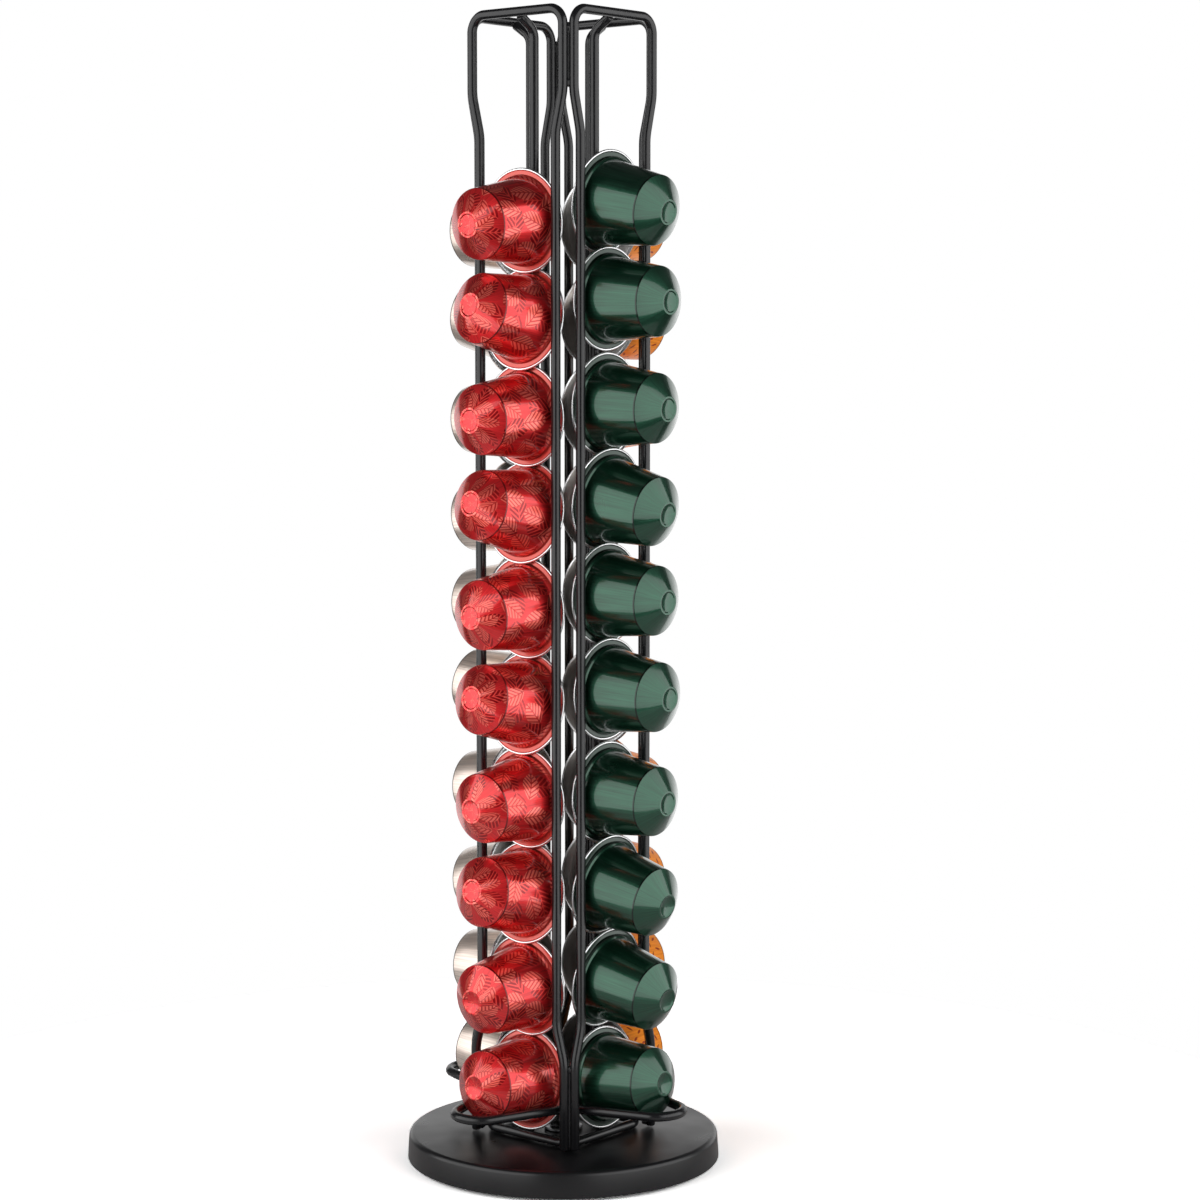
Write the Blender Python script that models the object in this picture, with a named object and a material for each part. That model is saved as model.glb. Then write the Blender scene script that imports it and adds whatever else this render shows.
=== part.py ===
"""Rotating wire tower that stores and dispenses forty coffee capsules.

Metres, +Z up. The origin is the centre of the foot on the table, on the axis that the tower turns about.
Column 0 faces -Y (front), column 1 faces +X (right), column 2 faces +Y (back) and column 3 faces -X (left).
In a column's own frame, "reach" is the distance out from the axis and "side" is the distance across it.
"""

import math

import bmesh
import bpy
import numpy as np
from mathutils import Matrix, Vector

# Clearances
GAP = 0.0003
SIDE_PLAY = 0.00104
MOUTH_PLAY = 0.0011
PIVOT_PLAY = 0.0003

# Capsule
FLANGE_DIAMETER = 0.037
RIM_THICKNESS = 0.0010
FLANGE_WIDTH = 0.0026
COLLAR_LENGTH = 0.0016
COLLAR_STEP = 0.0008
SHOULDER_DIAMETER = 0.0248
SHOULDER_REACH = 0.0240
NOSE_DIAMETER = 0.0090
CAPSULE_LENGTH = 0.0294

# Wires
WIRE_DIAMETER = 0.0034
LEG_GAP = 0.0004
CHANNEL_DEPTH = 0.0055
HEAD_ROOM = 0.0488
MOUTH_HEIGHT = 0.0298
MOUTH_TAPER = 0.0141
OUTLET_HEIGHT = 0.0315
OUTLET_TAPER = 0.0126
LEG_LIFT = 0.0009
TOP_BEND = 0.0058
JOG_BEND = 0.020
CRANK_BEND = 0.0055
CRANK_FALL_SHARE = 0.65
RING_BEND = 0.0060
NOSE_CLEARANCE = 0.0034
LOOP_TIP_BEND = 0.0097

# Base pan
PAN_TOP_DIAMETER = 0.1132
PAN_RIM_DIAMETER = 0.1144
PAN_TOP = 0.0107
PAN_RIM = 0.0012
PAN_EDGE = 0.0018
PAN_SHEET = 0.0010

# Turntable under the pan
RUBBER_THICKNESS = 0.0016
RUBBER_WIDTH = 0.0060
FOOT_INSET = 0.0036
FOOT_FLANGE_WIDTH = 0.0065
FOOT_SLOPE_WIDTH = 0.0035
FOOT_SHEET = 0.0012
GLIDE_INSET = 0.0040
GLIDE_WIDTH = 0.0080
GLIDE_THICKNESS = 0.0012
HEAD_DIAMETER = 0.0094
HEAD_HEIGHT = 0.0018
HEAD_CROWN_SHARE = 0.7
WASHER_DIAMETER = 0.0140
WASHER_THICKNESS = 0.0008
SHOULDER_DIAMETER_OF_BOLT = 0.0070
THREAD_DIAMETER = 0.0050
NUT_ACROSS_FLATS = 0.0080
NUT_HEIGHT = 0.0035
THREAD_OVERHANG = 0.0006

# Counts
COLUMN_NAMES = ("front", "right", "back", "left")
CAPSULE_SEGMENTS = 16
PAN_SEGMENTS = 48
FOOT_SEGMENTS = 48
BOLT_SEGMENTS = 16
NUT_SEGMENTS = 18
JOG_STEPS = 2
BEND_STEPS = 4
TIP_STEPS = 8

# Ways for a capsule to lie in the channel. The first share is how far it tips, of the steepest tip that
# fits, with nose down positive. The second is where its rim sits in the play that is left: 0 back, 1 front.
POSTURE_SHARES = {
    "resting": (-0.5, 0.0),
    "raised": (-0.95, 0.5),
    "level": (0.3, 0.55),
    "forward": (0.3, 1.0),
    "dipped": (0.5, 1.0),
    "lowered": (1.0, 0.5),
}

# The ten capsules of each column, lowest first
STACKS = {
    "front": ("resting", "level", "raised", "level", "raised", "level", "raised", "level", "raised", "dipped"),
    "right": ("resting", "lowered", "lowered", "level", "forward", "level", "lowered", "level", "forward",
              "lowered"),
    "back": ("resting", "level", "lowered", "lowered", "level", "forward", "lowered", "level", "lowered",
             "level"),
    "left": ("resting", "level", "lowered", "level", "raised", "level", "lowered", "level", "raised", "level"),
}

# Sizes that follow from those above
WIRE_RADIUS = WIRE_DIAMETER / 2
FLANGE_RADIUS = FLANGE_DIAMETER / 2
RIM_HALF = RIM_THICKNESS / 2
COLLAR_RADIUS = FLANGE_RADIUS - FLANGE_WIDTH
BODY_RADIUS = COLLAR_RADIUS - COLLAR_STEP
GUIDE_HALF_WIDTH = BODY_RADIUS + WIRE_RADIUS + SIDE_PLAY
MOUTH_HALF_WIDTH = FLANGE_RADIUS + WIRE_RADIUS + MOUTH_PLAY
FRAME_REACH = MOUTH_HALF_WIDTH + (WIRE_DIAMETER + LEG_GAP) / math.sqrt(2)
BACK_WIRE_REACH = FRAME_REACH - CHANNEL_DEPTH - WIRE_DIAMETER
RING_REACH = FRAME_REACH - WIRE_DIAMETER - GAP
RING_HEIGHT = PAN_TOP + GAP + WIRE_RADIUS
WELD_STEP = (WIRE_RADIUS + GAP) / math.sqrt(2)
PAN_UNDERSIDE = PAN_TOP - PAN_SHEET
FOOT_TOP = PAN_UNDERSIDE - GLIDE_THICKNESS - 2 * GAP
FOOT_BOTTOM = RUBBER_THICKNESS + GAP
PAN_BORE_RADIUS = min(PAN_TOP_DIAMETER, PAN_RIM_DIAMETER) / 2 - PAN_SHEET
FOOT_RADIUS = PAN_BORE_RADIUS - FOOT_INSET
FOOT_SLOPE_RADIUS = FOOT_RADIUS - FOOT_FLANGE_WIDTH
FOOT_FLAT_RADIUS = FOOT_SLOPE_RADIUS - FOOT_SLOPE_WIDTH
GLIDE_RADIUS = FOOT_FLAT_RADIUS - GLIDE_INSET
LEG_END = PAN_TOP + LEG_LIFT
ARM_SIDE = MOUTH_HALF_WIDTH - WIRE_DIAMETER - GAP
ARM_START = FRAME_REACH - WIRE_RADIUS


def principled(name, colour, roughness, metallic):
    """One material with the colour, roughness and metallic value of a finish."""
    material = bpy.data.materials.new(name)
    material.use_nodes = True
    shader = material.node_tree.nodes["Principled BSDF"]
    shader.inputs["Base Color"].default_value = (*colour, 1)
    shader.inputs["Roughness"].default_value = roughness
    shader.inputs["Metallic"].default_value = metallic
    return material


def make_materials():
    return {
        "black_steel": principled("black_steel", (0.012, 0.012, 0.014), 0.42, 0.0),
        "bare_steel": principled("bare_steel", (0.55, 0.56, 0.58), 0.35, 1.0),
        "rubber": principled("rubber", (0.03, 0.03, 0.03), 0.85, 0.0),
        "nylon": principled("nylon", (0.78, 0.77, 0.72), 0.5, 0.0),
        "front": principled("red_foil", (0.62, 0.02, 0.03), 0.3, 0.8),
        "right": principled("green_foil", (0.01, 0.09, 0.055), 0.28, 0.8),
        "back": principled("orange_foil", (0.85, 0.25, 0.03), 0.32, 0.7),
        "left": principled("champagne_foil", (0.72, 0.6, 0.5), 0.34, 0.9),
    }


def clear_scene():
    for thing in list(bpy.data.objects):
        bpy.data.objects.remove(thing)


def empty(name, parent=None):
    """A pivot that the pieces of one moving body hang from."""
    pivot = bpy.data.objects.new(name, None)
    bpy.context.scene.collection.objects.link(pivot)
    pivot.parent = parent
    return pivot


def add(name, data, material, parent):
    piece = bpy.data.objects.new(name, data)
    bpy.context.scene.collection.objects.link(piece)
    if not data.materials:
        data.materials.append(material)
    piece.parent = parent
    return piece


def finished(form, name):
    """The mesh of a closed form, with its faces pointing out and its round sides shaded smooth."""
    bmesh.ops.recalc_face_normals(form, faces=form.faces)
    mesh = bpy.data.meshes.new(name)
    form.to_mesh(mesh)
    form.free()
    mesh.shade_smooth()
    mesh.set_sharp_from_angle(angle=math.radians(30))
    return mesh


def turned(name, profile, segments, closed):
    """Turns (radius, height) points about Z. A closed profile makes a ring, an open one starts and ends at Z."""
    form = bmesh.new()
    points = [form.verts.new((radius, 0, height)) for radius, height in profile]
    edges = [form.edges.new(pair) for pair in zip(points, points[1:])]
    if closed:
        edges.append(form.edges.new((points[-1], points[0])))
    bmesh.ops.spin(form, geom=points + edges, cent=(0, 0, 0), axis=(0, 0, 1),
                   angle=math.tau, steps=segments, use_merge=True)
    bmesh.ops.remove_doubles(form, verts=form.verts, dist=GAP / 100)
    return finished(form, name)


def arc(centre, radius, start, end, steps):
    """Points on a circle in the profile's plane, from one angle to another, in degrees."""
    angles = [math.radians(start + (end - start) * step / steps) for step in range(steps + 1)]
    return [(centre[0] + radius * math.cos(a), centre[1] + radius * math.sin(a)) for a in angles]


def rounded_corner(before, corner, after, bend, steps):
    """Points along the arc that rounds one corner of a wire's centreline."""
    back = (before - corner).normalized()
    ahead = (after - corner).normalized()
    half = back.angle(ahead) / 2
    centre = corner + (back + ahead).normalized() * (bend / math.sin(half))
    first = corner + back * (bend / math.tan(half)) - centre
    turn = math.pi - 2 * half
    axis = ahead.cross(back)
    return [centre + Matrix.Rotation(turn * step / steps, 3, axis) @ first for step in range(steps + 1)]


def bent_path(corners, bends, steps):
    """A wire's centreline: straight runs between the corners, with each inner corner rounded to its bend."""
    path = [corners[0]]
    for before, corner, after, bend, count in zip(corners, corners[1:], corners[2:], bends, steps):
        path += rounded_corner(before, corner, after, bend, count)
    path.append(corners[-1])
    return path


def wire(name, path, material, parent, column=0, closed=False):
    """A round wire along a path drawn for column 0, turned to its own column."""
    curve = bpy.data.curves.new(name, "CURVE")
    curve.dimensions = "3D"
    curve.bevel_depth = WIRE_RADIUS
    curve.bevel_resolution = 2
    curve.use_fill_caps = True
    spline = curve.splines.new("POLY")
    spline.points.add(len(path) - 1)
    for point, place in zip(spline.points, path):
        point.co = (*place, 1)
    spline.use_cyclic_u = closed
    piece = add(name, curve, material, parent)
    piece.rotation_euler.z = column * math.tau / len(COLUMN_NAMES)
    return piece


def at(side, reach, height):
    """A point of column 0, which faces -Y."""
    return Vector((side, -reach, height))


def side_frame_path(bar):
    """An inverted U that is wide at the outlet and at the mouth, and narrow enough between to hold the rims."""
    outlet_end = LEG_END + OUTLET_HEIGHT
    mouth_start = bar + WIRE_RADIUS - MOUTH_HEIGHT
    half = [
        (MOUTH_HALF_WIDTH, LEG_END),
        (MOUTH_HALF_WIDTH, outlet_end),
        (GUIDE_HALF_WIDTH, outlet_end + OUTLET_TAPER),
        (GUIDE_HALF_WIDTH, mouth_start - MOUTH_TAPER),
        (MOUTH_HALF_WIDTH, mouth_start),
        (MOUTH_HALF_WIDTH, bar),
    ]
    corners = [at(-side, FRAME_REACH, height) for side, height in half]
    corners += [at(side, FRAME_REACH, height) for side, height in reversed(half)]
    bends = [JOG_BEND] * 4 + [TOP_BEND] * 2 + [JOG_BEND] * 4
    steps = [JOG_STEPS] * 4 + [BEND_STEPS] * 2 + [JOG_STEPS] * 4
    return bent_path(corners, bends, steps)


def back_wire_path(bar):
    """From under the top bar, cranked in to the back of the channel, down, and out again to the bottom ring."""
    middle_of_bar = at(0, FRAME_REACH, bar)
    knee = at(0, BACK_WIRE_REACH, bar - (FRAME_REACH - BACK_WIRE_REACH) * CRANK_FALL_SHARE)
    corners = [
        middle_of_bar + (knee - middle_of_bar).normalized() * (WIRE_RADIUS + GAP),
        knee,
        at(0, BACK_WIRE_REACH, RING_HEIGHT + RING_REACH - BACK_WIRE_REACH),
        at(0, RING_REACH - WELD_STEP, RING_HEIGHT + WELD_STEP),
    ]
    return bent_path(corners, [CRANK_BEND] * 2, [BEND_STEPS] * 2)


def bottom_ring_path():
    """A square of wire that lies on the pan inside the legs."""
    sides = ((-1, -1), (1, -1), (1, 1), (-1, 1))
    corners = [Vector((x * RING_REACH, y * RING_REACH, RING_HEIGHT)) for x, y in sides]
    path = []
    for index, corner in enumerate(corners):
        after = corners[(index + 1) % len(corners)]
        path += rounded_corner(corners[index - 1], corner, after, RING_BEND, BEND_STEPS)
    return path


def loop_tangent(tip_reach):
    """The angle at which the loop's straight arm meets its round tip, and the reach of that tip's centre."""
    centre_reach = tip_reach - LOOP_TIP_BEND
    span = math.hypot(ARM_SIDE, ARM_START - centre_reach)
    angle = math.atan2(ARM_START - centre_reach, ARM_SIDE) + math.acos(LOOP_TIP_BEND / span)
    return angle, centre_reach


def stop_loop_path(tip_reach, height):
    angle, centre_reach = loop_tangent(tip_reach)
    turns = [angle + (math.pi - 2 * angle) * step / TIP_STEPS for step in range(TIP_STEPS + 1)]
    tip = [at(LOOP_TIP_BEND * math.cos(turn), centre_reach + LOOP_TIP_BEND * math.sin(turn), height)
           for turn in turns]
    return [at(ARM_SIDE, ARM_START, height), *tip, at(-ARM_SIDE, ARM_START, height)]


def capsule_profile():
    """(distance from the rim's middle towards the nose, radius), from the lid's edge to the nose."""
    return [
        (-RIM_HALF, FLANGE_RADIUS),
        (RIM_HALF, FLANGE_RADIUS),
        (RIM_HALF, COLLAR_RADIUS),
        (RIM_HALF + COLLAR_LENGTH, BODY_RADIUS),
        (SHOULDER_REACH - RIM_HALF, SHOULDER_DIAMETER / 2),
        (CAPSULE_LENGTH - RIM_HALF, NOSE_DIAMETER / 2),
    ]


def capsule_mesh(name):
    """A closed capsule with its lid facing down and its nose up, about the middle of its rim."""
    outline = [(radius, along) for along, radius in capsule_profile()]
    profile = [(0, outline[0][1]), *outline, (0, outline[-1][1])]
    return turned(name, profile, CAPSULE_SEGMENTS, closed=False)


def channel_play(slope):
    """Nearest and furthest reach of a rim's middle in the channel, for a capsule tipped by this sine."""
    steep = abs(slope)
    half = RIM_HALF + GAP
    nearest = BACK_WIRE_REACH + WIRE_RADIUS + half + FLANGE_RADIUS * steep
    neighbour = FLANGE_RADIUS + half
    furthest = FRAME_REACH
    for share in np.linspace(0, 1, 20):
        across = GUIDE_HALF_WIDTH - WIRE_RADIUS * share
        bulge = WIRE_RADIUS * math.sqrt(1 - share * share)
        tall = math.sqrt(FLANGE_RADIUS**2 - across**2)
        furthest = min(furthest, FRAME_REACH - bulge - tall * steep - half)
    return max(nearest, neighbour), furthest


def steepest_slope():
    """The largest sine at which a rim still fits between the back wire and the two front wires."""
    low, high = 0.0, 0.5
    for _ in range(30):
        middle = (low + high) / 2
        nearest, furthest = channel_play(middle)
        if nearest <= furthest:
            low = middle
        else:
            high = middle
    return low


def side_view(slope, reach, half):
    """Points along a tipped capsule's upper or lower outline in its column's middle plane."""
    level = math.sqrt(1 - slope * slope)
    points = [(-RIM_HALF, 0), *capsule_profile(), (CAPSULE_LENGTH - RIM_HALF, 0)]
    found = []
    for (along0, radius0), (along1, radius1) in zip(points, points[1:]):
        for share in np.linspace(0, 1, 25):
            along = along0 + (along1 - along0) * share
            up = half * (radius0 + (radius1 - radius0) * share)
            found.append((reach + along * level + up * slope, up * level - along * slope))
    return np.array(found)


def rise_between(lower, upper):
    """How far an upper capsule's middle lies above the lower one's when it has slid down until they meet."""
    below = side_view(*lower, 1)
    above = side_view(*upper, -1)
    near = np.abs(below[:, None, 0] - above[None, :, 0]) <= GAP
    rise = below[:, None, 1] - above[None, :, 1]
    return float(rise[near].max()) + GAP


def height_on_ring(slope, reach):
    """Height of the lowest capsule's middle when its rim stands on the bottom ring."""
    under = side_view(slope, reach, -1)
    hold = WIRE_RADIUS + GAP
    off = under[:, 0] - RING_REACH
    over = np.abs(off) < hold
    crown = RING_HEIGHT + np.sqrt(hold**2 - off[over] ** 2)
    return float((crown - under[over, 1]).max())


def settle(postures):
    """Slope, reach and height of every capsule in a column, each one resting on the one below it."""
    steepest = steepest_slope()
    placed = []
    for posture in postures:
        tip_share, play_share = POSTURE_SHARES[posture]
        slope = steepest * tip_share
        nearest, furthest = channel_play(slope)
        reach = nearest + (furthest - nearest) * play_share
        if placed:
            height = placed[-1][2] + rise_between(placed[-1][:2], (slope, reach))
        else:
            height = height_on_ring(slope, reach)
        placed.append((slope, reach, height))
    return placed


def nose_reach(slope, reach, height):
    """How far out the nose of a settled capsule comes."""
    level = math.sqrt(1 - slope * slope)
    return reach + (CAPSULE_LENGTH - RIM_HALF) * level + NOSE_DIAMETER / 2 * abs(slope)


def loop_height(slope, reach, height, tip_reach):
    """The highest that a stop loop's arms can lie under the lowest capsule of a column."""
    angle, centre_reach = loop_tangent(tip_reach)
    level = math.sqrt(1 - slope * slope)
    end_side = LOOP_TIP_BEND * math.cos(angle)
    end_reach = centre_reach + LOOP_TIP_BEND * math.sin(angle)
    profile = np.array(capsule_profile())
    highest = height
    for share in np.linspace(0, 1, 60):
        side = ARM_SIDE + (end_side - ARM_SIDE) * share
        out = ARM_START + (end_reach - ARM_START) * share - reach
        radius = float(np.interp(out / level, profile[:, 0], profile[:, 1]))
        hold = radius / level + WIRE_RADIUS + GAP
        if hold > side:
            middle = height - out * slope / level
            highest = min(highest, middle - math.sqrt(hold**2 - side**2))
    return highest


def base_pan(materials, parent):
    """Pressed dish: flat top, rounded edge, wall that flares to the rim, hollow below, hole for the pivot."""
    top_radius = PAN_TOP_DIAMETER / 2
    rim_radius = PAN_RIM_DIAMETER / 2
    hole = SHOULDER_DIAMETER_OF_BOLT / 2 + PIVOT_PLAY
    edge_centre = (top_radius - PAN_EDGE, PAN_TOP - PAN_EDGE)
    outside = arc(edge_centre, PAN_EDGE, 90, 0, 3)
    inside = arc(edge_centre, PAN_EDGE - PAN_SHEET, 0, 90, 2)
    profile = [(hole, PAN_TOP), *outside, (rim_radius, PAN_RIM),
               (rim_radius - PAN_SHEET, PAN_RIM), *inside, (hole, PAN_UNDERSIDE)]
    mesh = turned("base_pan", profile, PAN_SEGMENTS, closed=True)
    return add("base_pan", mesh, materials["black_steel"], parent)


def foot_plate(materials, parent):
    """Pressed plate that stands still: a raised flat under the glide ring and a low flange on the rubber."""
    hole = THREAD_DIAMETER / 2 + PIVOT_PLAY
    low = FOOT_BOTTOM + FOOT_SHEET
    profile = [(hole, FOOT_TOP), (FOOT_FLAT_RADIUS, FOOT_TOP), (FOOT_SLOPE_RADIUS, low), (FOOT_RADIUS, low),
               (FOOT_RADIUS, FOOT_BOTTOM), (FOOT_SLOPE_RADIUS - FOOT_SHEET, FOOT_BOTTOM),
               (FOOT_FLAT_RADIUS - FOOT_SHEET, FOOT_TOP - FOOT_SHEET), (hole, FOOT_TOP - FOOT_SHEET)]
    mesh = turned("foot_plate", profile, FOOT_SEGMENTS, closed=True)
    return add("foot_plate", mesh, materials["bare_steel"], parent)


def pivot_nut(low, high, materials, parent):
    """Hexagon nut with a round bore."""
    bore = THREAD_DIAMETER / 2 + PIVOT_PLAY
    half_flats = NUT_ACROSS_FLATS / 2
    flat_turn = math.tau / 6
    form = bmesh.new()
    loops = [[], [], [], []]
    for step in range(NUT_SEGMENTS):
        turn = math.tau * step / NUT_SEGMENTS
        from_flat = (turn + flat_turn / 2) % flat_turn - flat_turn / 2
        outer = half_flats / math.cos(from_flat)
        corners = ((outer, low), (outer, high), (bore, high), (bore, low))
        for loop, (radius, height) in zip(loops, corners):
            loop.append(form.verts.new((radius * math.cos(turn), radius * math.sin(turn), height)))
    for loop, beside in zip(loops, loops[1:] + loops[:1]):
        for step in range(NUT_SEGMENTS):
            after = (step + 1) % NUT_SEGMENTS
            form.faces.new((loop[step], loop[after], beside[after], beside[step]))
    return add("pivot_nut", finished(form, "pivot_nut"), materials["bare_steel"], parent)


def flat_ring(name, outer, inner, low, high, segments, material, parent):
    mesh = turned(name, [(inner, low), (outer, low), (outer, high), (inner, high)], segments, closed=True)
    return add(name, mesh, material, parent)


def turntable(materials, parent):
    """Everything that stands still under the tower, and the bolt that holds the pan down."""
    foot_plate(materials, parent)
    flat_ring("rubber_foot_ring", FOOT_RADIUS, FOOT_RADIUS - RUBBER_WIDTH, 0, RUBBER_THICKNESS,
              FOOT_SEGMENTS, materials["rubber"], parent)
    seat = FOOT_TOP + GAP
    flat_ring("glide_ring", GLIDE_RADIUS, GLIDE_RADIUS - GLIDE_WIDTH, seat, seat + GLIDE_THICKNESS,
              FOOT_SEGMENTS, materials["nylon"], parent)
    washer = PAN_TOP + GAP
    flat_ring("pivot_washer", WASHER_DIAMETER / 2, SHOULDER_DIAMETER_OF_BOLT / 2 + PIVOT_PLAY,
              washer, washer + WASHER_THICKNESS, BOLT_SEGMENTS, materials["bare_steel"], parent)
    under = FOOT_TOP - FOOT_SHEET - GAP
    pivot_nut(under - NUT_HEIGHT, under, materials, parent)
    pivot_bolt(washer + WASHER_THICKNESS + GAP, under - NUT_HEIGHT - THREAD_OVERHANG, materials, parent)


def pivot_bolt(seat, end, materials, parent):
    """Shoulder bolt: low head over the washer, shoulder that the pan turns on, thread down through the nut."""
    head = HEAD_DIAMETER / 2
    shoulder = SHOULDER_DIAMETER_OF_BOLT / 2
    thread = THREAD_DIAMETER / 2
    step = FOOT_TOP + GAP
    top = seat + HEAD_HEIGHT
    profile = [(0, end), (thread, end), (thread, step), (shoulder, step), (shoulder, seat), (head, seat),
               (head, seat + HEAD_HEIGHT / 2), (head * HEAD_CROWN_SHARE, top), (0, top)]
    mesh = turned("pivot_bolt", profile, BOLT_SEGMENTS, closed=False)
    return add("pivot_bolt", mesh, materials["black_steel"], parent)


def wire_tower(stacks, materials, parent):
    """The four faces of the tower, a side frame, back wire and stop loop each, and the ring they stand round."""
    black = materials["black_steel"]
    tip_reach = max(nose_reach(*stack[0]) for stack in stacks.values()) + NOSE_CLEARANCE + WIRE_RADIUS
    height = min(loop_height(*stack[0], tip_reach) for stack in stacks.values())
    tallest = max(stack[-1][2] for stack in stacks.values())
    bar = tallest + FLANGE_RADIUS + HEAD_ROOM - WIRE_RADIUS
    for column, name in enumerate(COLUMN_NAMES):
        wire(f"side_frame_{name}", side_frame_path(bar), black, parent, column)
        wire(f"back_wire_{name}", back_wire_path(bar), black, parent, column)
        wire(f"stop_loop_{name}", stop_loop_path(tip_reach, height), black, parent, column)
    wire("bottom_ring", bottom_ring_path(), black, parent, closed=True)


def capsule_column(column, name, placed, material, tower):
    """Ten capsules lying on their sides, lids to the axis and noses out, in one stack that can be lifted."""
    stack = empty(f"stack_{name}", tower)
    mesh = capsule_mesh(f"capsule_{name}")
    turn = column * math.tau / len(COLUMN_NAMES)
    for index, (slope, reach, height) in enumerate(placed):
        capsule = add(f"capsule_{name}_{index + 1:02d}", mesh, material, stack)
        capsule.location = Matrix.Rotation(turn, 3, "Z") @ at(0, reach, height)
        capsule.rotation_euler = (math.pi / 2 + math.asin(slope), 0, turn)


def build():
    clear_scene()
    materials = make_materials()
    foot = empty("foot")
    tower = empty("tower", foot)
    turntable(materials, foot)
    base_pan(materials, tower)
    stacks = {name: settle(STACKS[name]) for name in COLUMN_NAMES}
    wire_tower(stacks, materials, tower)
    for column, name in enumerate(COLUMN_NAMES):
        capsule_column(column, name, stacks[name], materials[name], tower)


build()
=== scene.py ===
"""Looks of the coffee capsule dispenser: wires, capsules, turning base, light and camera.

Metres, +Z up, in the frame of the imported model. Column 0 faces -Y (front), 1 faces +X (right), 2 faces +Y
(back) and 3 faces -X (left). "Reach" is the distance out from the axis, "side" the distance across a column.
"""

import math

import bmesh
import bpy
import numpy as np
from mathutils import Matrix, Vector, noise


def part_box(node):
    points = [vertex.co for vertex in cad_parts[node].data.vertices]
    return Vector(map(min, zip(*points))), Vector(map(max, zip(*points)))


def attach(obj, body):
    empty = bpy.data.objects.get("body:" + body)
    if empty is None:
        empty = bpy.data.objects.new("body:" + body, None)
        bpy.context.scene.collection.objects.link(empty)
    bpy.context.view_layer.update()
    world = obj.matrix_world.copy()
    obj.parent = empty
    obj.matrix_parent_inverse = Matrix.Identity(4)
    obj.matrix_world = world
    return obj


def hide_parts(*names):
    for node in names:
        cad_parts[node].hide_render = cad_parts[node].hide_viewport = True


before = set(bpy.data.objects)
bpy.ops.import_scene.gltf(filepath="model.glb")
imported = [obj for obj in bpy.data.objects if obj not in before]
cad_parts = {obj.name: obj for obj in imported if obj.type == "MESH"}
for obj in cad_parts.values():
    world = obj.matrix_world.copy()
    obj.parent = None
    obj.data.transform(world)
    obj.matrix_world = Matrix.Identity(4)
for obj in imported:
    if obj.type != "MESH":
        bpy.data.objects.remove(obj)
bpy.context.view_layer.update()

MM = 0.001
COLUMNS = ("front", "right", "back", "left")
QUARTER = math.tau / len(COLUMNS)
CAPSULES_IN_COLUMN = 10
GOLDEN_ANGLE = 2.399963

# Wires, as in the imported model
WIRE_RADIUS = 0.0017
GAP = 0.0003
GUIDE_HALF = 0.01784
MOUTH_HALF = 0.0213
FRAME_REACH = 0.023987
BACK_REACH = 0.015087
RING_REACH = 0.020287
RING_HEIGHT = 0.0127
LEG_END = 0.0116
OUTLET_END = 0.0431
GUIDE_START = 0.0557
TOP_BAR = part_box("side_frame_front")[1].z - WIRE_RADIUS
MOUTH_START = TOP_BAR + WIRE_RADIUS - 0.0298
GUIDE_END = MOUTH_START - 0.0141
CRANK_FALL_SHARE = 0.65
TOP_BEND = 0.0058
JOG_BEND = 0.020
CRANK_BEND = 0.0055
RING_BEND = 0.0060
LOOP_HEIGHT = 0.02532
LOOP_TIP = 0.053566
LOOP_BEND = 0.0097
WELD_STEP = (WIRE_RADIUS + GAP) / math.sqrt(2)
END_EASE = 0.35 * MM
END_SHARE = 0.8

# Photograph's view
CAMERA_PLACE = Vector((0.6765, -0.7766, 0.2992))
CAMERA_TURN = (math.radians(84.830), 0, math.radians(40.409))
CAMERA_RIGHT = Vector((0.7614, 0.6483, 0))
CAMERA_SHIFT = 0.0018
CAMERA_LENS = 85.61
TO_CAMERA = Vector((0.6568, -0.7541, 0))

# Two tall side panels, at an angle to the camera's line
PANEL_ANGLE = math.radians(64)
PANEL_WIDTH = 2.4
PANEL_HEIGHT = 1.95
PANEL_DISTANCE = 1.25
PANEL_MIDDLE = 0.36
PANEL_LEVEL = 2.0 * math.pi

# The world: a low white wall behind the object, and dim elsewhere. Its limits are shares of a unit direction
WALL_TURN = math.radians(8)
WALL_SIDES = (0.70, 0.77)
WALL_TOP = (0.38, 0.33)
DIM = 0.05

# The table, plain in reflections and white to the camera
TABLE_RADIUS = 0.30
TABLE_DROP = 0.0001
TABLE_COLOUR = (0.8, 0.8, 0.8, 1)
TABLE_SHOWN = (2.6, 2.6, 2.6, 1)

# A capsule's skin map, in millimetres: round, and along from the lid's middle. The flange is darkened with painted
# shade, which passes into the body's colour over the first span below, and a thin line of painted shade, as wide as
# the last span below, darkens the crease between body and cone at SHOULDER
SKIN_ROUND = 88.0
FLANGE_SHADE_FADE = (21.5, 24.0)
SHOULDER = 44.9
FOLD_SHADE_WIDTH = (0.42, 0.2)


def is_socket(value):
    return isinstance(value, bpy.types.NodeSocket)


def add_node(tree, kind, inputs=None, **settings):
    """A shader node with its settings made and its sockets linked or filled."""
    node = tree.nodes.new(kind)
    for key, value in settings.items():
        setattr(node, key, value)
    for key, value in (inputs or {}).items():
        if is_socket(value):
            tree.links.new(value, node.inputs[key])
        else:
            node.inputs[key].default_value = value
    return node


def calc(tree, operation, *values):
    """The output of one Math node."""
    return add_node(tree, "ShaderNodeMath", dict(enumerate(values)), operation=operation).outputs[0]


def smooth_step(tree, value, low, high):
    """0 at low and 1 at high, also where high is the smaller one."""
    return add_node(tree, "ShaderNodeMapRange", {"Value": value, "From Min": low, "From Max": high},
                    interpolation_type="SMOOTHSTEP").outputs[0]


def spread(tree, value, low, high):
    """Spreads a noise value over a range."""
    return add_node(tree, "ShaderNodeMapRange",
                    {"Value": value, "From Min": 0.3, "From Max": 0.7, "To Min": low, "To Max": high}).outputs[0]


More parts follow.
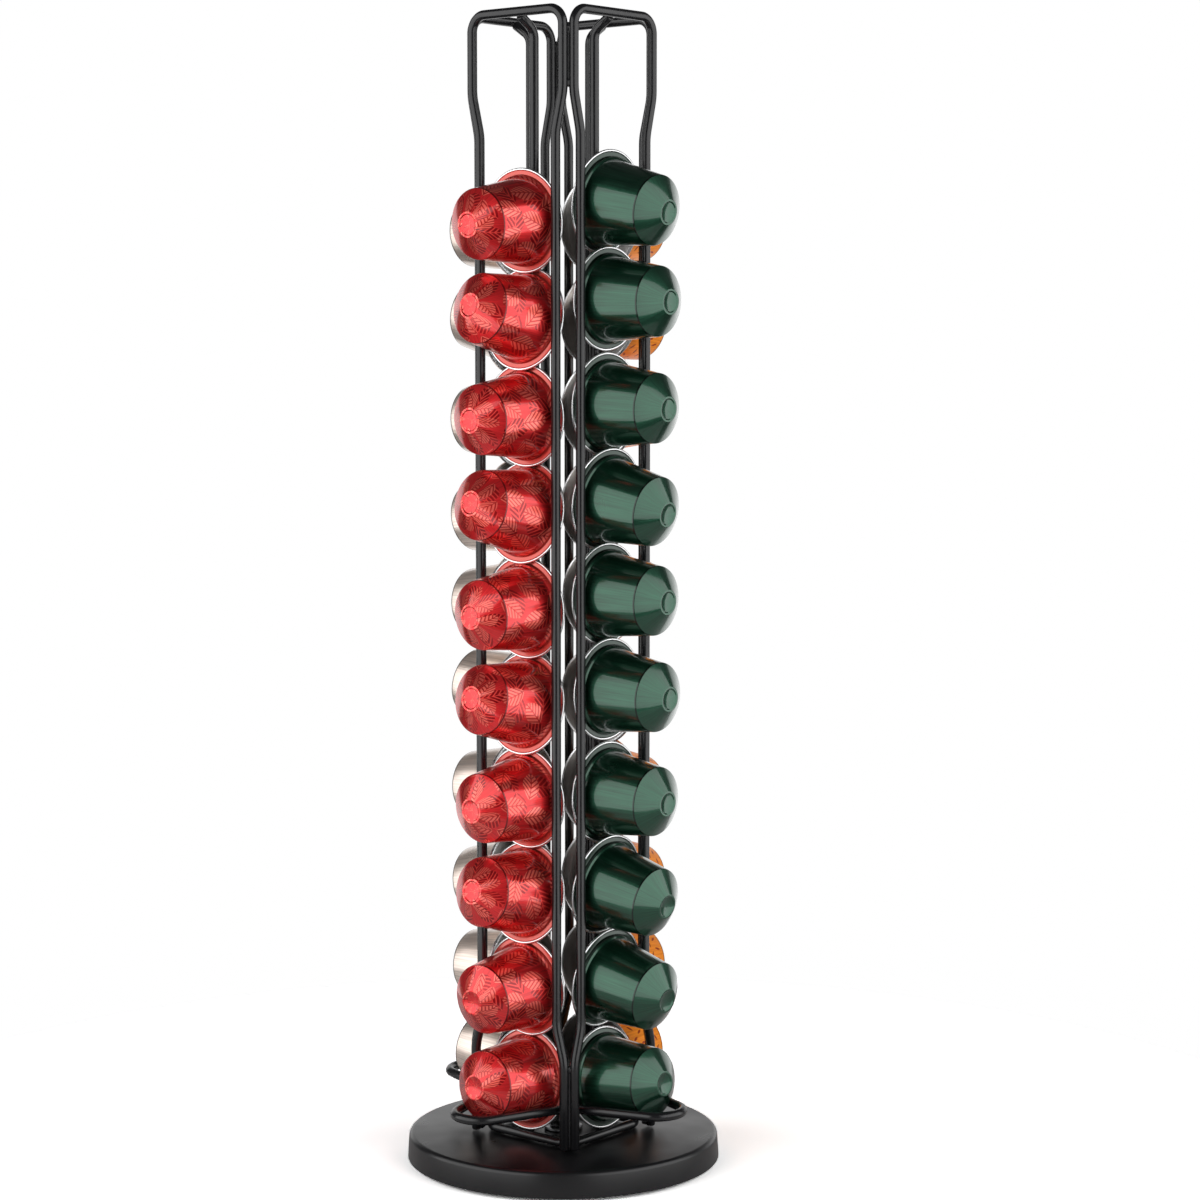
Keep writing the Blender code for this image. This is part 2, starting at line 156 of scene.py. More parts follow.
def mix_colour(tree, factor, first, second):
    """A mix of two colours, each a socket or three numbers."""
    first, second = (value if is_socket(value) else (*value, 1) for value in (first, second))
    return add_node(tree, "ShaderNodeMix", {0: factor, 6: first, 7: second}, data_type="RGBA").outputs[2]


def shades(colour, low, high):
    """A darker and a lighter shade of a colour, in the range of a real surface."""
    return [c * low for c in colour], [min(1, c * high) for c in colour]


def new_material(name, colour, roughness, metallic, **sockets):
    """A Principled material, its tree and its shader. Socket names are written with underscores."""
    material = bpy.data.materials.new(name)
    material.use_nodes = True
    tree = material.node_tree
    shader = tree.nodes["Principled BSDF"]
    shader.inputs["Base Color"].default_value = (*colour, 1)
    shader.inputs["Roughness"].default_value = roughness
    shader.inputs["Metallic"].default_value = metallic
    for key, value in sockets.items():
        shader.inputs[key.replace("_", " ")].default_value = value
    return material, tree, shader


def object_point(tree, scale=(1, 1, 1)):
    coordinates = add_node(tree, "ShaderNodeTexCoord")
    return add_node(tree, "ShaderNodeMapping", {"Vector": coordinates.outputs["Object"], "Scale": scale}).outputs[0]


def noise_value(tree, vector, scale, detail=2.0):
    return add_node(tree, "ShaderNodeTexNoise", {"Vector": vector, "Scale": scale, "Detail": detail}).outputs[0]


def set_bump(tree, shader, height, strength, distance):
    bump = add_node(tree, "ShaderNodeBump", {"Height": height, "Strength": strength, "Distance": distance})
    tree.links.new(bump.outputs[0], shader.inputs["Normal"])


def powder_coat(name, colour, roughness, grain, depth):
    """Satin black powder coating: a fine orange-peel grain, and gloss that wanders a little."""
    material, tree, shader = new_material(name, colour, roughness, 0.0, Specular_IOR_Level=0.5)
    point = object_point(tree)
    peel = noise_value(tree, point, grain)
    blotch = noise_value(tree, point, 60.0)
    tree.links.new(spread(tree, blotch, roughness - 0.04, roughness + 0.05), shader.inputs["Roughness"])
    fine = noise_value(tree, point, grain * 3)
    tint = mix_colour(tree, fine, *shades(colour, 0.7, 1.4))
    tree.links.new(tint, shader.inputs["Base Color"])
    set_bump(tree, shader, peel, depth, 0.0002)
    return material


def worn_metal(name, colour, roughness, scale):
    """Zinc-plated steel with cloudy patches and fine turning marks."""
    material, tree, shader = new_material(name, colour, roughness, 1.0)
    point = object_point(tree)
    cloud = noise_value(tree, point, scale, 4.0)
    tree.links.new(spread(tree, cloud, roughness - 0.08, roughness + 0.12), shader.inputs["Roughness"])
    tint = mix_colour(tree, cloud, *shades(colour, 0.8, 1))
    tree.links.new(tint, shader.inputs["Base Color"])
    set_bump(tree, shader, noise_value(tree, point, scale * 12), 0.15, 0.0002)
    return material


def soft_plastic(name, colour, roughness, grain):
    """Rubber or nylon with a fine speckle."""
    material, tree, shader = new_material(name, colour, roughness, 0.0)
    point = object_point(tree)
    speck = noise_value(tree, point, grain)
    tint = mix_colour(tree, speck, *shades(colour, 0.75, 1.2))
    tree.links.new(tint, shader.inputs["Base Color"])
    set_bump(tree, shader, speck, 0.3, 0.0003)
    return material


def skin_place(tree):
    """Where a point lies on a capsule's skin: millimetres round, and along from the lid's middle."""
    uv = add_node(tree, "ShaderNodeUVMap", uv_map="skin").outputs[0]
    return add_node(tree, "ShaderNodeSeparateXYZ", {"Vector": uv}).outputs


def print_cells(tree, seed, width, height):
    """Splits the capsule's skin, in millimetres round and along, into staggered cells.

    Gives the place within the cell, turned by an angle of the cell's own, and the cell's random number.
    """
    parts = skin_place(tree)
    along = calc(tree, "ADD", calc(tree, "DIVIDE", parts[1], height), seed)
    row = calc(tree, "FLOOR", along)
    stagger = calc(tree, "MULTIPLY", calc(tree, "FLOORED_MODULO", row, 2.0), 0.5)
    around = calc(tree, "ADD", calc(tree, "DIVIDE", parts[0], width), stagger)
    column = calc(tree, "FLOORED_MODULO", calc(tree, "FLOOR", around), SKIN_ROUND / width)
    cell = add_node(tree, "ShaderNodeCombineXYZ", {"X": column, "Y": row, "Z": seed}).outputs[0]
    random = add_node(tree, "ShaderNodeTexWhiteNoise", {"Vector": cell}, noise_dimensions="3D").outputs[0]
    across = calc(tree, "MULTIPLY", calc(tree, "SUBTRACT", calc(tree, "FRACT", around), 0.5), width)
    up = calc(tree, "MULTIPLY", calc(tree, "SUBTRACT", calc(tree, "FRACT", along), 0.5), height)
    turn = calc(tree, "MULTIPLY", random, math.tau)
    cosine, sine = calc(tree, "COSINE", turn), calc(tree, "SINE", turn)
    x = calc(tree, "SUBTRACT", calc(tree, "MULTIPLY", across, cosine), calc(tree, "MULTIPLY", up, sine))
    y = calc(tree, "ADD", calc(tree, "MULTIPLY", across, sine), calc(tree, "MULTIPLY", up, cosine))
    return x, y, random


def leaf_print(tree, seed, width, height, long, wide, veins):
    """A sprinkle of single leaves: a mask of the leaves, and one of their midribs and slanting veins.

    Lengths are in millimetres: half a leaf's length and half its width, and from vein to vein.
    """
    x, y, random = print_cells(tree, seed, width, height)
    off = calc(tree, "ABSOLUTE", x)
    share = calc(tree, "POWER", calc(tree, "DIVIDE", y, long), 2.0)
    inside = calc(tree, "SUBTRACT", calc(tree, "SUBTRACT", 1.0, share), calc(tree, "DIVIDE", off, wide))
    depth = calc(tree, "ADD", calc(tree, "MULTIPLY", random, 0.35), 0.65)
    leaf = calc(tree, "MULTIPLY", smooth_step(tree, inside, 0.0, 0.05), depth)
    rib = smooth_step(tree, off, 0.26, 0.14)
    slanting = calc(tree, "ADD", y, calc(tree, "MULTIPLY", off, 1.1))
    slant = calc(tree, "FRACT", calc(tree, "DIVIDE", slanting, veins))
    vein = smooth_step(tree, calc(tree, "ABSOLUTE", calc(tree, "SUBTRACT", slant, 0.5)), 0.24, 0.14)
    return leaf, calc(tree, "MAXIMUM", rib, vein)


def foil_skin(name, colour, flange_shade, roughness, metallic, print_of=None, **sockets):
    """Lacquered aluminium: drawn lines along the body, soft dents, and any print under the lacquer. Painted shade
    darkens the flange and a thin line along the shoulder crease.
    """
    material, tree, shader = new_material(name, colour, roughness, metallic, Coat_Roughness=0.09, **sockets)
    uv = add_node(tree, "ShaderNodeUVMap", uv_map="skin").outputs[0]
    lines = add_node(tree, "ShaderNodeMapping", {"Vector": uv, "Scale": (1.5, 0.045, 1)}).outputs[0]
    drawn = spread(tree, noise_value(tree, lines, 1.0, 4.0), 0.0, 1.0)
    cloud = noise_value(tree, object_point(tree), 90.0)
    shade = mix_colour(tree, drawn, *shades(colour, 0.72, 1.24))
    if print_of:
        shade = print_of(tree, shade)
    along = skin_place(tree)[1]
    # Painted shade: the flange takes a darker colour than the body, fading into the body's colour
    shade = mix_colour(tree, smooth_step(tree, along, *FLANGE_SHADE_FADE), flange_shade, shade)
    # Painted shade: a thin dark line, a fifth of the colour, along the crease between body and cone
    fold_shade = smooth_step(tree, calc(tree, "ABSOLUTE", calc(tree, "SUBTRACT", along, SHOULDER)), *FOLD_SHADE_WIDTH)
    shade = mix_colour(tree, fold_shade, shade, [c * 0.2 for c in colour])
    tree.links.new(shade, shader.inputs["Base Color"])
    tree.links.new(spread(tree, cloud, roughness - 0.03, roughness + 0.05), shader.inputs["Roughness"])
    height = calc(tree, "ADD", calc(tree, "MULTIPLY", drawn, 0.15), calc(tree, "MULTIPLY", cloud, 0.6))
    set_bump(tree, shader, height, 0.12, 0.0004)
    return material


def red_print(tree, shade):
    """Dark leaves with pale veins, and pale leaves with dark veins over them."""
    leaf, veins = leaf_print(tree, 0.0, SKIN_ROUND / 7, 11.4, 6.6, 4.1, 2.1)
    shade = mix_colour(tree, leaf, shade, mix_colour(tree, veins, (0.25, 0.001, 0.005), (0.85, 0.06, 0.05)))
    leaf, veins = leaf_print(tree, 7.37, SKIN_ROUND / 8, 10.2, 5.6, 3.5, 1.9)
    return mix_colour(tree, leaf, shade, mix_colour(tree, veins, (1.0, 0.17, 0.13), (0.46, 0.015, 0.015)))


def orange_print(tree, shade):
    """Short scattered dashes, which stop short of the nose."""
    x, y, _ = print_cells(tree, 3.1, 4.4, 4.0)
    wide = calc(tree, "ABSOLUTE", calc(tree, "DIVIDE", x, 0.5))
    long = calc(tree, "POWER", calc(tree, "DIVIDE", y, 1.6), 2.0)
    inside = calc(tree, "SUBTRACT", calc(tree, "SUBTRACT", 1.0, wide), long)
    short_of_nose = smooth_step(tree, skin_place(tree)[1], SHOULDER + 5, SHOULDER + 4)
    mask = calc(tree, "MULTIPLY", smooth_step(tree, inside, 0.0, 0.15), short_of_nose)
    return mix_colour(tree, mask, shade, (0.30, 0.04, 0.008))


MATERIALS = {
    "wire": powder_coat("wire_coat", (0.007, 0.007, 0.008), 0.24, 1400.0, 0.06),
    "pan": powder_coat("pan_coat", (0.004, 0.004, 0.005), 0.31, 1100.0, 0.05),
    "steel": worn_metal("zinc_steel", (0.55, 0.56, 0.58), 0.34, 120.0),
    "rubber": soft_plastic("black_rubber", (0.03, 0.03, 0.03), 0.8, 900.0),
    "nylon": soft_plastic("white_nylon", (0.76, 0.75, 0.7), 0.45, 300.0),
    "rim": worn_metal("bare_aluminium", (0.90, 0.90, 0.91), 0.26, 200.0),
    "lid": worn_metal("lid_foil", (0.52, 0.50, 0.48), 0.36, 150.0),
    "front": foil_skin("red_foil", (0.74, 0.024, 0.028), (0.50, 0.075, 0.058), 0.31, 0.75, red_print,
                       Coat_Weight=0.85, Specular_Tint=(0.9, 0.2, 0.16, 1)),
    "right": foil_skin("green_foil", (0.013, 0.068, 0.038), (0.004, 0.02, 0.011), 0.30, 0.85, Coat_Weight=0.85),
    "back": foil_skin("orange_foil", (0.95, 0.26, 0.02), (0.28, 0.08, 0.006), 0.34, 0.3, orange_print,
                      Specular_IOR_Level=0.15),
    "left": foil_skin("champagne_foil", (0.78, 0.66, 0.58), (0.3, 0.26, 0.22), 0.29, 0.75, Coat_Weight=0.6),
}


def link(name, data):
    """A new object in the scene."""
    piece = bpy.data.objects.new(name, data)
    bpy.context.scene.collection.objects.link(piece)
    return piece


def dress(piece, finish, body, *nodes):
    """Gives a piece its material if it has none, its body and the nodes that it stands for."""
    if not piece.data.materials:
        piece.data.materials.append(MATERIALS[finish])
    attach(piece, body)
    if nodes:
        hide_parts(*nodes)
    return piece


def arc(centre, radius, start, end, steps):
    """Points on a circle in a profile's plane, from one angle to another, in degrees."""
    turns = [math.radians(start + (end - start) * step / steps) for step in range(steps + 1)]
    return [(centre[0] + radius * math.cos(turn), centre[1] + radius * math.sin(turn)) for turn in turns]


def fillet(points, radii, steps=4):
    """Rounds the inner corners of an open run of 2-D points."""
    run = [Vector((*point, 0)) for point in points]
    path = [run[0]]
    for before, corner, after, radius in zip(run, run[1:], run[2:], radii):
        path += bend(before, corner, after, radius, steps) if radius else [corner]
    path.append(run[-1])
    return [(point.x, point.y) for point in path]


def bend(before, corner, after, radius, steps):
    """Points along the arc that rounds one corner."""
    back = (before - corner).normalized()
    ahead = (after - corner).normalized()
    half = back.angle(ahead) / 2
    centre = corner + (back + ahead).normalized() * (radius / math.sin(half))
    first = corner + back * (radius / math.tan(half)) - centre
    axis = ahead.cross(back)
    turn = math.pi - 2 * half
    return [centre + Matrix.Rotation(turn * step / steps, 3, axis) @ first for step in range(steps + 1)]


def route(corners, radii, steps):
    """A path through corners, each but the ends rounded."""
    path = [corners[0]]
    for before, corner, after, radius in zip(corners, corners[1:], corners[2:], radii):
        path += bend(before, corner, after, radius, steps)
    path.append(corners[-1])
    return path


def lathe(name, profile, segments, closed, bands=()):
    """Turns (radius, height) points about Z, with a skin map in millimetres round and along.

    Bands are (first profile edge, material index) pairs, in rising order.
    """
    form = bmesh.new()
    skin = form.loops.layers.uv.new("skin")
    rings = []
    for radius, height in profile:
        if radius == 0:
            rings.append([form.verts.new((0, 0, height))] * segments)
            continue
        ring = []
        for step in range(segments):
            turn = math.tau * step / segments
            ring.append(form.verts.new((radius * math.cos(turn), radius * math.sin(turn), height)))
        rings.append(ring)
    lengths = [0.0]
    for (r0, h0), (r1, h1) in zip(profile, profile[1:]):
        lengths.append(lengths[-1] + math.hypot(r1 - r0, h1 - h0) / MM)
    count = len(rings) if closed else len(rings) - 1
    for index in range(count):
        low, high = rings[index], rings[(index + 1) % len(rings)]
        for step in range(segments):
            after = (step + 1) % segments
            corners = [(low[step], step, index), (low[after], step + 1, index),
                       (high[after], step + 1, index + 1), (high[step], step, index + 1)]
            # A ring at the axis is one vertex, so its faces have three corners
            unique = []
            for corner in corners:
                if all(corner[0] is not other[0] for other in unique):
                    unique.append(corner)
            face = form.faces.new([corner[0] for corner in unique])
            face.smooth = True
            for first, number in bands:
                if index >= first:
                    face.material_index = number
            for loop, (_, around, row) in zip(face.loops, unique):
                loop[skin].uv = (SKIN_ROUND * around / segments, lengths[min(row, len(lengths) - 1)])
    bmesh.ops.recalc_face_normals(form, faces=form.faces)
    mesh = bpy.data.meshes.new(name)
    form.to_mesh(mesh)
    form.free()
    return mesh


def soft_edges(mesh, degrees=32):
    """Keeps the edges sharp that turn by more than this."""
    mesh.set_sharp_from_angle(angle=math.radians(degrees))
    return mesh


# Capsule profile in millimetres: (radius, distance from the rim's middle towards the nose)
CAPSULE_SEGMENTS = 64
LONGEST_EDGE = 5.5
LID = [(0, -0.36), (6.0, -0.37), (12.0, -0.38), (14.2, -0.36), (14.7, -0.44), (15.1, -0.5), (17.4, -0.5)]
RIM = arc((18.0, 0.0), 0.5, -90, 115, 9)
SKIN = fillet([(17.74, 0.4), (17.45, 0.2), (16.0, 0.42), (15.9, 1.75), (15.12, 2.35), (12.42, 23.45), (4.45, 28.9),
               (3.85, 28.9), (3.4, 28.6), (0, 27.9)],
              [0.3, 0.4, 0.35, 0.5, 0.45, 0.3, 0.15, 0.3])


def refine(points, longest):
    """Splits the long straight edges of a profile."""
    fine = [points[0]]
    for (r0, h0), (r1, h1) in zip(points, points[1:]):
        parts = max(1, math.ceil(math.hypot(r1 - r0, h1 - h0) / longest))
        fine += [(r0 + (r1 - r0) * part / parts, h0 + (h1 - h0) * part / parts) for part in range(1, parts + 1)]
    return fine


def capsule_mesh(name, foil):
    """One capsule, of a lid, a rolled bare rim and a lacquered skin."""
    skin = refine(SKIN, LONGEST_EDGE)
    profile = [(radius * MM, along * MM) for radius, along in [*LID, *RIM, *skin]]
    rim_start, skin_start = len(LID) - 1, len(LID) + len(RIM) - 1
    mesh = lathe(name, profile, CAPSULE_SEGMENTS, False, ((0, 2), (rim_start, 1), (skin_start, 0)))
    for finish in (foil, "rim", "lid"):
        mesh.materials.append(MATERIALS[finish])
    return mesh


def capsule_pose(node):
    """Where a packed capsule lies, from its own points: the rim's middle, and the way its nose points."""
    points = np.unique(np.round([vertex.co[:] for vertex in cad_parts[node].data.vertices], 7), axis=0)
    centre = points.mean(axis=0)
    spread, ways = np.linalg.eigh(np.cov((points - centre).T))
    odd = max(range(3), key=lambda i: abs(spread[i] - np.median(spread)))
    axis = ways[:, odd]
    along = (points - centre) @ axis
    across = np.linalg.norm(points - centre - np.outer(along, axis), axis=1)
    if along[across.argmax()] > 0:
        axis, along = -axis, -along
    widest = along[across > across.max() - 0.02 * MM]
    return Vector(centre + axis * widest.mean()), Vector(axis)


def place_capsules():
    """Ten capsules in each column, each rolled by an angle of its own so that their prints differ."""
    for column, name in enumerate(COLUMNS):
        mesh = capsule_mesh(f"capsule_{name}", name)
        for index in range(CAPSULES_IN_COLUMN):
            node = f"capsule_{name}_{index + 1:02d}"
            middle, axis = capsule_pose(node)
            lean = axis.to_track_quat("Z", "Y").to_matrix().to_4x4()
            roll = Matrix.Rotation(GOLDEN_ANGLE * (index + 3 * column), 4, "Z")
            piece = link(f"dressed_{node}", mesh)
            piece.matrix_world = Matrix.Translation(middle) @ lean @ roll
            dress(piece, name, f"stack_{name}", node)


def wire(name, path, node, column=0, closed=False):
    """A smooth round wire with eased ends, along a path drawn for column 0."""
    curve = bpy.data.curves.new(name, "CURVE")
    curve.dimensions = "3D"
    curve.bevel_depth = WIRE_RADIUS
    curve.bevel_resolution = 6
    curve.use_fill_caps = True
    radii = [1.0] * len(path)
    if not closed:
        first = (path[1] - path[0]).normalized() * END_EASE
        last = (path[-2] - path[-1]).normalized() * END_EASE
        path = [path[0], path[0] + first, *path[1:-1], path[-1] + last, path[-1]]
        radii = [END_SHARE] + [1.0] * (len(path) - 2) + [END_SHARE]
    spline = curve.splines.new("POLY")
    spline.points.add(len(path) - 1)
    for point, place, radius in zip(spline.points, path, radii):
        point.co = (*place, 1)
        point.radius = radius
    spline.use_cyclic_u = closed
    spline.use_smooth = True
    piece = link(name, curve)
    piece.rotation_euler.z = column * QUARTER
    return dress(piece, "wire", "tower", node)


def at(side, reach, height):
    """A point of column 0."""
    return Vector((side, -reach, height))


def side_frame_path():
    """An inverted U that is jogged in to the guide between its mouth and its outlet."""
    half = [(MOUTH_HALF, LEG_END), (MOUTH_HALF, OUTLET_END), (GUIDE_HALF, GUIDE_START), (GUIDE_HALF, GUIDE_END),
            (MOUTH_HALF, MOUTH_START), (MOUTH_HALF, TOP_BAR)]
    corners = [at(-side, FRAME_REACH, height) for side, height in half]
    corners += [at(side, FRAME_REACH, height) for side, height in reversed(half)]
    return route(corners, [JOG_BEND] * 4 + [TOP_BEND] * 2 + [JOG_BEND] * 4, 12)


def back_wire_path():
    """Down from the top bar, cranked in behind the capsules, and out to the bottom ring."""
    bar = at(0, FRAME_REACH, TOP_BAR)
    knee = at(0, BACK_REACH, TOP_BAR - (FRAME_REACH - BACK_REACH) * CRANK_FALL_SHARE)
    corners = [bar + (knee - bar).normalized() * (WIRE_RADIUS + GAP), knee,
               at(0, BACK_REACH, RING_HEIGHT + RING_REACH - BACK_REACH),
               at(0, RING_REACH - WELD_STEP, RING_HEIGHT + WELD_STEP)]
    return route(corners, [CRANK_BEND] * 2, 10)


def ring_path():
    """The square, round-cornered ring under the columns."""
    signs = ((-1, -1), (1, -1), (1, 1), (-1, 1))
    corners = [Vector((x * RING_REACH, y * RING_REACH, RING_HEIGHT)) for x, y in signs]
    path = []
    for index, corner in enumerate(corners):
        path += bend(corners[index - 1], corner, corners[(index + 1) % len(corners)], RING_BEND, 10)
    return path


def loop_path():
    """A stop loop's arms run straight from the legs to its round tip."""
    side, start = MOUTH_HALF - 2 * WIRE_RADIUS - GAP, FRAME_REACH - WIRE_RADIUS
    centre = LOOP_TIP - LOOP_BEND
    angle = math.atan2(start - centre, side) + math.acos(LOOP_BEND / math.hypot(side, start - centre))
    steps = 24
    turns = [angle + (math.pi - 2 * angle) * step / steps for step in range(steps + 1)]
    tip = [at(LOOP_BEND * math.cos(turn), centre + LOOP_BEND * math.sin(turn), LOOP_HEIGHT) for turn in turns]
    return [at(side, start, LOOP_HEIGHT), *tip, at(-side, start, LOOP_HEIGHT)]


def bead(form, middle, way, length, width, seed):
    """A lumpy weld bead, long in one direction."""
    turn = Vector(way).to_track_quat("Z", "Y").to_matrix().to_4x4()
    made = bmesh.ops.create_icosphere(form, subdivisions=3, radius=1)["verts"]
    for vertex in made:
        lump = 1 + 0.22 * noise.noise(vertex.co * 1.7 + Vector((seed, 0, 0)))
        place = Vector((vertex.co.x * width, vertex.co.y * width, vertex.co.z * length)) * lump
        vertex.co = turn @ place + middle


def seam(form, side, foot, top, width, seed):
    """An uneven run of weld that closes the slit between two upright legs."""
    sides = 8
    rings = []
    for step in range(round((top - foot) / MM) + 1):
        height = foot + step * MM
        radius = width * (1 + 0.25 * noise.noise(Vector((seed, 0, height * 420))))
        turns = [math.tau * index / sides for index in range(sides)]
        rings.append([form.verts.new((side + radius * math.cos(turn), -side + radius * math.sin(turn), height))
                      for turn in turns])
    for low, high in zip(rings, rings[1:]):
        for index in range(sides):
            after = (index + 1) % sides
            form.faces.new((low[index], low[after], high[after], high[index]))
    form.faces.new(rings[0][::-1])
    form.faces.new(rings[-1])
    return [vertex for ring in rings for vertex in ring]


def weld_beads():
    """Welds under the coating: leg to leg at the corners, arms to legs, and back wires to bars and ring."""
    form = bmesh.new()
    corner = (MOUTH_HALF + FRAME_REACH) / 2
    for column in range(len(COLUMNS)):
        turn = Matrix.Rotation(column * QUARTER, 3, "Z")
        for foot, top in ((LEG_END, OUTLET_END - 2 * MM), (MOUTH_START + 2 * MM, TOP_BAR - 5.5 * MM)):
            made = seam(form, corner, foot, top, 0.62 * MM, column)
            bmesh.ops.rotate(form, verts=made, cent=(0, 0, 0), matrix=turn)
        ends = ((TOP_BAR - 7.4 * MM, 2.2), (MOUTH_START + 2 * MM, 1.6), (OUTLET_END - 3 * MM, 1.6))
        for index, (height, length) in enumerate(ends):
            middle = turn @ at(corner, corner, height + 0.0006 * math.sin(5.1 * column + index))
            bead(form, middle, (0, 0, 1), length * MM, 0.95 * MM, column * 7 + index)
        for side in (-1, 1):
            arm = at(side * (MOUTH_HALF - WIRE_RADIUS), FRAME_REACH - 0.6 * WIRE_RADIUS, LOOP_HEIGHT)
            bead(form, turn @ arm, turn @ Vector((0, 1, 0)), 1.9 * MM, 1.2 * MM, column * 5 + side)
            foot = at(side * (MOUTH_HALF - 0.5 * WIRE_RADIUS), FRAME_REACH - WIRE_RADIUS, RING_HEIGHT + 0.2 * MM)
            bead(form, turn @ foot, turn @ Vector((1, 0, 0)), 1.6 * MM, 1.15 * MM, column * 11 + side)
        bar = at(0, FRAME_REACH, TOP_BAR)
        crank = bar + Vector((0, 1, -CRANK_FALL_SHARE)).normalized() * WIRE_RADIUS
        bead(form, turn @ crank, turn @ Vector((1, 0, 0)), 1.8 * MM, 1.0 * MM, column + 31)
        root = at(0, RING_REACH - WELD_STEP * 0.6, RING_HEIGHT + WELD_STEP * 0.6)
        bead(form, turn @ root, turn @ Vector((1, 0, 0)), 1.9 * MM, 1.2 * MM, column + 41)
    bmesh.ops.recalc_face_normals(form, faces=form.faces)
    for face in form.faces:
        face.smooth = True
    mesh = bpy.data.meshes.new("weld_beads")
    form.to_mesh(mesh)
    form.free()
    dress(link("weld_beads", mesh), "wire", "tower")


def wires():
    """The bent-wire cage: a frame, a rear wire and a loop to each column, and the ring under them all."""
    for column, name in enumerate(COLUMNS):
        wire(f"frame_wire_{name}", side_frame_path(), f"side_frame_{name}", column)
        wire(f"rear_wire_{name}", back_wire_path(), f"back_wire_{name}", column)
        wire(f"loop_wire_{name}", loop_path(), f"stop_loop_{name}", column)
    wire("ring_wire", ring_path(), "bottom_ring", closed=True)


def turned(name, points, radii, finish, body, node, segments=96, closed=True):
    """A piece turned about the axis from a profile in millimetres, with its inner corners rounded."""
    profile = [(radius * MM, height * MM) for radius, height in fillet(points, radii, 5)]
    dress(link(name, soft_edges(lathe(name, profile, segments, closed))), finish, body, node)


def washer_profile(inner, outer, low, high):
    """A flat ring's section, begun in the middle of its bore so that its four corners can be rounded."""
    middle = (low + high) / 2
    return [(inner, middle), (inner, low), (outer, low), (outer, high), (inner, high), (inner, middle + 0.05)]


def base():
    """The pan that turns with the tower, and the turntable under it. Profiles are in millimetres."""
    low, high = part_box("base_pan")
    outer, top, rim = high.x / MM, high.z / MM, low.z / MM
    pan = [(3.8, top), (56.6, top), (outer, rim), (outer - 1, rim), (55.6, top - 1), (3.8, top - 1)]
    turned("pan_shell", pan, [1.8, 0.35, 0.35, 0.8], "pan", "tower", "base_pan", 160)
    foot = [(2.8, 7.9), (42, 7.9), (45.5, 3.1), (52, 3.1), (52, 1.9), (44.9, 1.9), (41.4, 6.7), (2.8, 6.7)]
    turned("foot_shell", foot, [1.6, 1.6, 0.3, 0.3, 2.4, 0.8], "steel", "foot", "foot_plate")
    turned("rubber_ring", washer_profile(46, 52, 0, 1.6), [0.35] * 4, "rubber", "foot", "rubber_foot_ring")
    turned("glide", washer_profile(30, 38, 8.2, 9.4), [0.3] * 4, "nylon", "foot", "glide_ring")
    turned("washer", washer_profile(3.8, 7, 11, 11.8), [0.15] * 4, "steel", "foot", "pivot_washer", 64)
    low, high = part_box("pivot_bolt")
    end, top = low.z / MM, high.z / MM
    bolt = [(0, end), (2.5, end), (2.5, 8.2), (3.5, 8.2), (3.5, top - 1.8), (4.7, top - 1.8), (4.7, top - 0.9),
            (3.3, top), (1.6, top), (1.4, top - 0.7), (0, top - 0.7)]
    turned("bolt", bolt, [0.3, 0.1, 0.1, 0.1, 0.2, 0.5, 0.6, 0.1, 0.1], "pan", "foot", "pivot_bolt", 64, False)
    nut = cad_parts["pivot_nut"].data
    nut.materials.clear()
    nut.materials.append(MATERIALS["steel"])


def photograph_camera():
    camera = link("camera", bpy.data.cameras.new("camera"))
    camera.location = CAMERA_PLACE + CAMERA_RIGHT * CAMERA_SHIFT
    camera.rotation_euler = CAMERA_TURN
    camera.data.lens = CAMERA_LENS
    bpy.context.scene.camera = camera


def side_panels():
    """Two tall soft lamps, right and left of the camera."""
    for side, name in ((1, "right_panel"), (-1, "left_panel")):
        turn = PANEL_ANGLE * side
        way = TO_CAMERA * math.cos(turn) + CAMERA_RIGHT * math.sin(turn)
        lamp = bpy.data.lights.new(name, "AREA")
        lamp.shape = "RECTANGLE"
        lamp.size, lamp.size_y = PANEL_WIDTH, PANEL_HEIGHT
        lamp.energy = PANEL_LEVEL * lamp.size * lamp.size_y
        panel = link(name, lamp)
        panel.location = way * PANEL_DISTANCE + Vector((0, 0, PANEL_MIDDLE))
        panel.rotation_euler = way.to_track_quat("Z", "Y").to_euler()
        panel.visible_camera = False


